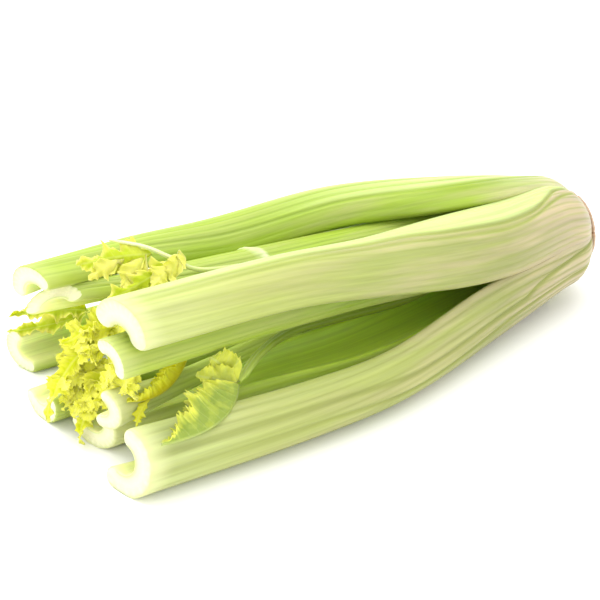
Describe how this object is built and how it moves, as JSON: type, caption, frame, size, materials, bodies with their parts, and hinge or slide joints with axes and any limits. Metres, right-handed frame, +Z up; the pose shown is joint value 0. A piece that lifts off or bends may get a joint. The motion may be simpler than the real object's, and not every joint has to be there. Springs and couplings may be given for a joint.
{
  "type": "head of celery",
  "caption": "Head of celery on its side: ribbed stalks with trimmed ends fan out from a rounded, cut butt round thin stems with small leaves.",
  "frame": {"origin": "middle of the head's footprint, on the surface that it lies on", "axes": "+X along the head towards its cut butt, +Z up from the surface, -Y the side of the lowest front stalk"},
  "size_m": [0.3358, 0.161, 0.1016],
  "materials": {
    "stalk_green": "satin",
    "stem_pale": "satin",
    "leaf_yellow": "matte",
    "cut_cream": "matte"
  },
  "bodies": {
    "root": {"butt": "cut_cream", "outer_stalk_1": "stalk_green", "outer_stalk_2": "stalk_green", "outer_stalk_3": "stalk_green", "outer_stalk_4": "stalk_green", "outer_stalk_5": "stalk_green", "inner_stalk_1": "stalk_green", "inner_stalk_2": "stalk_green", "inner_stalk_3": "stalk_green", "inner_stalk_4": "stalk_green", "heart_stalk_1": "stalk_green", "top_leaf_stem": "stem_pale", "side_leaf_stem": "stem_pale", "heart_leaf_stem": "stem_pale", "back_leaf_stem": "stem_pale", "heart_leaf_1": "leaf_yellow", "heart_leaf_2": "leaf_yellow", "heart_leaf_3": "leaf_yellow", "curled_leaf": "leaf_yellow", "top_leaf_1": "leaf_yellow", "top_leaf_2": "leaf_yellow", "side_leaf": "leaf_yellow", "back_leaf_1": "leaf_yellow", "back_leaf_2": "leaf_yellow"}
  },
  "joints": []
}
